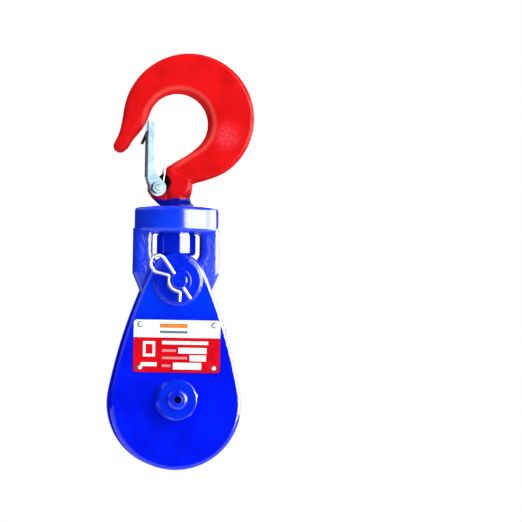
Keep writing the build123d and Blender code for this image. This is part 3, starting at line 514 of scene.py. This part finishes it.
def add_finishes():
    """Makes each finish once, gives it to the pieces that have it and returns the two used again."""
    red = enamel(
        "sprayed_red_enamel_on_forging", "#DA1418", "#CA1013",
        forge_mm=9.0, forge_depth=0.09, peel_depth=0.02, gloss=0.14, coat=0.08,
        # the pale band along the bowl's inner edge is a painted highlight
        stains_and_painted_light=(
            # the pale specks on the bow's right are a painted sheen over forging scale
            (painted_edge_highlight, "#F05850"), (scale_with_painted_sheen, "#EE6478"), (paint_pits, "#8C0A0E"),
            # the dark patch above the latch's bolt is painted shade
            (collar_spray, "#08128C"), (hinge_painted_shade, "#1A0506"),
        ))
    blue_plate = enamel(
        "sprayed_blue_enamel_on_plate", "#001AEC", "#0012DA",
        forge_mm=30.0, forge_depth=0.10, peel_depth=0.01, gloss=0.06, coat=1.0,
        # the lighter blue at the top of the plates is painted light
        stains_and_painted_light=((painted_light_top, "#0034EC"),))
    blue_forged = enamel(
        "sprayed_blue_enamel_on_forging", "#003CF4", "#0032E8",
        forge_mm=12.0, forge_depth=0.2, peel_depth=0.02, gloss=0.2, coat=1.0, skin=forged_skin)
    turned = {"forge_mm": 14.0, "forge_depth": 0.05, "peel_depth": 0.02, "gloss": 0.09, "coat": 1.0}
    blue_turned = enamel("sprayed_blue_enamel_on_turned_steel", "#002CE6", "#0020D2", **turned)
    # Enamel whose grease hole is darkened in its bore with painted shade
    blue_shaded_hole = enamel(
        "sprayed_blue_enamel_with_shaded_grease_hole", "#002CE6", "#0020D2", **turned,
        stains_and_painted_light=((hole_painted_shade, "#05061E"),))
    zinc = plated_metal(
        "zinc_plated_sheet", "#8296A2", "#6C808B", roughness=(0.5, 0.62), grain_mm=1.4, grain_depth=0.02,
        # the dark on the latch's lip is painted shade
        stains_and_painted_light=((lip_painted_shade, "#2A1C1C"),))
    wire = plated_metal(
        "drawn_spring_wire", "#C4CCD0", "#A2AAB0", roughness=(0.3, 0.42), grain_mm=0.8, grain_depth=0.004)
    steel = plated_metal(
        "turned_bright_steel", "#A8A9AA", "#76787A", roughness=(0.25, 0.45), grain_mm=1.0, grain_depth=0.01)
    bronze = plated_metal(
        "cast_bronze", "#B98A4C", "#8C6430", roughness=(0.3, 0.5), grain_mm=1.5, grain_depth=0.02)
    rivet = plated_metal(
        "pressed_aluminium_rivet", "#D2D6DA", "#9EA3A8",
        roughness=(0.25, 0.45), grain_mm=1.0, grain_depth=0.01)
    finishes = {
        red: ["hook"],
        blue_forged: ["yoke"],
        blue_plate: ["front_side_plate", "rear_side_plate", "sheave"],
        blue_turned: [
            "swivel_nut", "swivel_thrust_washer", "bolt_disc", "load_bolt_washer", "load_bolt",
            "centre_pin", "centre_pin_nut",
        ],
        blue_shaded_hole: ["grease_fitting"],
        zinc: ["latch", "latch_bolt", "latch_washer", "latch_nut"],
        wire: ["latch_spring", "hairpin"],
        steel: ["nut_cross_pin", "front_sheave_washer", "rear_sheave_washer"],
        bronze: ["sheave_bushing"],
        rivet: ["nameplate_rivets"],
        printed_plate("screen_printed_aluminium"): ["nameplate"],
    }
    for material, nodes in finishes.items():
        for node in nodes:
            paint(node, material)
    return red, blue_turned


def surface(name, points, closed_round, material, body):
    """Piece from a grid of points: rows along, columns round or across, with its normals outwards."""
    rows, columns = points.shape[:2]
    index = np.arange(rows * columns).reshape(rows, columns)
    if closed_round:
        index = np.concatenate([index, index[:, :1]], 1)
    quads = np.stack([index[:-1, :-1], index[:-1, 1:], index[1:, 1:], index[1:, :-1]], -1).reshape(-1, 4)
    mesh = bpy.data.meshes.new(name)
    mesh.from_pydata(points.reshape(-1, 3).tolist(), [], quads.tolist())
    mesh.shade_smooth()
    piece = bpy.data.objects.new(name, mesh)
    bpy.context.scene.collection.objects.link(piece)
    mesh.materials.append(material)
    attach(piece, body)


def add_weld_bead(material):
    """Bead of weld in the corner between the raised disc and the plate.

    At angle a round the load bolt and s over the heap, the distance from the bolt is the disc's radius plus
    the half width times the cosine of s, and the height is the bead's height times the sine of s. Both swell
    a little with the cosine of many times a, set back by the sine of s, which makes crescent ripples.
    """
    low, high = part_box("bolt_disc")
    centre = node_middle("bolt_disc")
    radius = (high.x - low.x) / 2 + BEAD_OFFSET
    over = np.linspace(0.0, np.pi, BEAD_STEPS_OVER)[:, None]
    around = np.linspace(0.0, 2 * np.pi, BEAD_STEPS_ROUND, endpoint=False)[None, :]
    swell = 1 + BEAD_SWELL * np.cos(BEAD_RIPPLES * around - BEAD_CRESCENT * np.sin(over))
    reach = radius + BEAD_HALF_WIDTH * np.cos(over) * swell
    depth = high.y - BEAD_HEIGHT * np.sin(over) * swell
    points = np.stack([centre.x + reach * np.cos(around), depth, centre.z + reach * np.sin(around)], -1)
    surface("disc_weld_bead", points, True, material, "block")


def add_nut_seat(material):
    """Low turned ring under the pin's nut: a profile carried round the pin.

    The profile goes from the ring's foot up its side, over a quarter circle at the edge and across its face
    to the bore.
    """
    centre = node_middle("centre_pin_nut")
    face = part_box("centre_pin_nut")[1].y
    edge = np.linspace(0.0, np.pi / 2, NUT_SEAT_STEPS_EDGE)
    sides = NUT_SEAT_RADIUS - NUT_SEAT_EDGE * (1 - np.cos(edge))
    rises = NUT_SEAT_HEIGHT - NUT_SEAT_EDGE * (1 - np.sin(edge))
    reach = np.concatenate([[NUT_SEAT_RADIUS], sides, [NUT_SEAT_BORE]])[:, None]
    rise = np.concatenate([[0.0], rises, [NUT_SEAT_HEIGHT]])[:, None]
    around = np.linspace(0.0, 2 * np.pi, NUT_SEAT_STEPS_ROUND, endpoint=False)[None, :]
    depth = face - rise + 0 * around
    points = np.stack([centre.x + reach * np.cos(around), depth, centre.z + reach * np.sin(around)], -1)
    surface("pin_nut_seat", points, True, material, "block")


def add_parting_line(material):
    """Ridge along the hook's back, where the dies met.

    Along the arc of the back at angle a, and across it at share t from -1 to 1, the ridge stands over the
    arc by its height times the squared cosine of a quarter turn times t, fading out at both ends.
    """
    along = np.radians(np.linspace(*PARTING_ANGLES, PARTING_STEPS_ALONG))[:, None]
    across = np.linspace(-1.0, 1.0, PARTING_STEPS_ACROSS)[None, :]
    ends = np.sin(np.linspace(0.0, np.pi, PARTING_STEPS_ALONG))[:, None] ** PARTING_BLUNTNESS
    ridge = PARTING_HEIGHT * np.cos(np.pi / 2 * across) ** 2 * ends
    reach = BOW_RADIUS + ridge - PARTING_SINK
    side = PARTING_HALF_WIDTH * across + 0 * along
    right, up = BOW_CENTRE[0] + reach * np.cos(along), BOW_CENTRE[1] + reach * np.sin(along)
    points = np.stack([right, side, up], -1)
    surface("hook_parting_line", points, False, material, "hook")


def add_turning_spring():
    """Latch spring as a merged copy of the CAD node's own mesh, shown in place of the hidden node.
    """
    piece = bpy.data.objects.new("latch_torsion_spring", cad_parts["latch_spring"].data.copy())
    bpy.context.scene.collection.objects.link(piece)
    wire = bmesh.new()
    wire.from_mesh(piece.data)
    bmesh.ops.remove_doubles(wire, verts=wire.verts, dist=MERGE_DISTANCE)
    wire.to_mesh(piece.data)
    wire.free()
    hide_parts("latch_spring")
    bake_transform(piece)


def direction(azimuth, elevation):
    """Unit vector from the object towards a camera or lamp."""
    turn, rise = radians(azimuth), radians(elevation)
    return Vector((sin(turn) * cos(rise), -cos(turn) * cos(rise), sin(rise)))


def level_by_ray(tree, levels):
    """Level given for the kind of ray that arrives, and nought for the kinds that have none."""
    ray = add(tree, "LightPath")
    strength = 0.0
    for kind, level in levels.items():
        share = add(tree, "Math", {0: ray.outputs[f"Is {kind} Ray"], 1: level}, operation="MULTIPLY")
        strength = add(tree, "Math", {0: share, 1: strength}, operation="MAXIMUM")
    return strength


def add_floor():
    """Pale card with a plain shadow near the object, which glows white to the eye further out."""
    size = FLOOR_SIZE / 2
    level = cad_box[0].z - FLOOR_DROP
    mesh = bpy.data.meshes.new("floor")
    corners = [(-size, -size, level), (size, -size, level), (size, size, level), (-size, size, level)]
    mesh.from_pydata(corners, [], [(0, 1, 2, 3)])
    floor = bpy.data.objects.new("floor", mesh)
    bpy.context.scene.collection.objects.link(floor)
    material, tree, place = new_material("matt_white_card")
    cloud = add(tree, "TexNoise", {"Vector": place, "Scale": 1 / (FLOOR_MOTTLE_MM * MM)})
    shade = layered(tree, "#F4F4F4", [(cloud, "#F0F0F0")])
    card = add(tree, "BsdfPrincipled", {"Base Color": shade, "Roughness": 0.9})
    glow = add(tree, "Emission", {"Color": linear("#FFFFFF"), "Strength": 1.0})
    way = add(tree, "VectorMath", {0: place}, operation="LENGTH")
    limits = {"Value": way, "From Min": FLOOR_CARD_WITHIN, "From Max": FLOOR_WHITE_PAST}
    far = add(tree, "MapRange", limits, interpolation_type="SMOOTHSTEP")
    seen = level_by_ray(tree, {"Camera": far, "Glossy": far, "Transmission": far})
    mixed = add(tree, "MixShader", {0: seen, 1: card, 2: glow})
    add(tree, "OutputMaterial", {"Surface": mixed})
    mesh.materials.append(material)


def add_world():
    """White surroundings: plain white to the eye, a soft fill on the object, and mirrored only in part."""
    world = bpy.data.worlds.new("white_studio")
    world.use_nodes = True
    tree = world.node_tree
    tree.nodes.clear()
    around = add(tree, "TexCoord").outputs["Generated"]
    left = share_along(tree, around, "X", *MIRRORED_LEFT)
    above = share_along(tree, around, "Z", *MIRRORED_ABOVE)
    corner = add(tree, "Math", {0: left, 1: above}, operation="MULTIPLY")
    mirrored = add(tree, "Math", {0: corner, 1: MIRRORED_ELSEWHERE}, operation="MAXIMUM")
    strength = level_by_ray(tree, {
        "Camera": 1.0, "Transmission": 1.0, "Glossy": mirrored, "Diffuse": WORLD_FILL,
    })
    back = add(tree, "Background", {"Color": linear("#FFFFFF"), "Strength": strength})
    add(tree, "OutputWorld", {"Surface": back})
    world.cycles.sampling_method = "NONE"
    bpy.context.scene.world = world


def add_lamp(name, azimuth, elevation, distance, width, height, power, diffuse, glossy):
    """Soft box that looks at the object from a direction given as for the camera."""
    light = bpy.data.lights.new(name, "AREA")
    light.shape = "RECTANGLE"
    light.size = width
    light.size_y = height
    light.energy = power
    lamp = bpy.data.objects.new(name, light)
    away = direction(azimuth, elevation)
    lamp.location = LOOK_AT + away * distance
    lamp.rotation_mode = "QUATERNION"
    lamp.rotation_quaternion = away.to_track_quat("Z", "Y")
    lamp.visible_diffuse = diffuse
    lamp.visible_glossy = glossy
    bpy.context.scene.collection.objects.link(lamp)


def add_camera():
    """Camera at the photograph's angle, turned aside so that the object stands left of the middle."""
    data = bpy.data.cameras.new("camera")
    data.sensor_width = CAMERA_SENSOR
    data.lens = CAMERA_LENS
    camera = bpy.data.objects.new("camera", data)
    bpy.context.scene.collection.objects.link(camera)
    up = Vector((0, 0, 1))
    place = LOOK_AT + direction(CAMERA_AZIMUTH, CAMERA_ELEVATION) * CAMERA_DISTANCE
    level = (LOOK_AT - place).normalized().cross(up).normalized()
    aim = LOOK_AT + level * LOOK_RIGHT + up * LOOK_UP
    ahead = (aim - place).normalized()
    side = ahead.cross(up).normalized()
    rise = side.cross(ahead)
    roll = radians(CAMERA_ROLL)
    right = side * cos(roll) + rise * sin(roll)
    top = rise * cos(roll) - side * sin(roll)
    turn = Matrix((right, top, -ahead)).transposed().to_4x4()
    camera.matrix_world = Matrix.Translation(place) @ turn
    bpy.context.scene.camera = camera


red_enamel, blue_enamel = add_finishes()
add_weld_bead(blue_enamel)
add_nut_seat(blue_enamel)
add_parting_line(red_enamel)
add_turning_spring()
add_floor()
add_world()
for lamp_name, setting in LAMPS.items():
    add_lamp(lamp_name, *setting)
add_camera()
bpy.context.scene.view_settings.view_transform = "Standard"
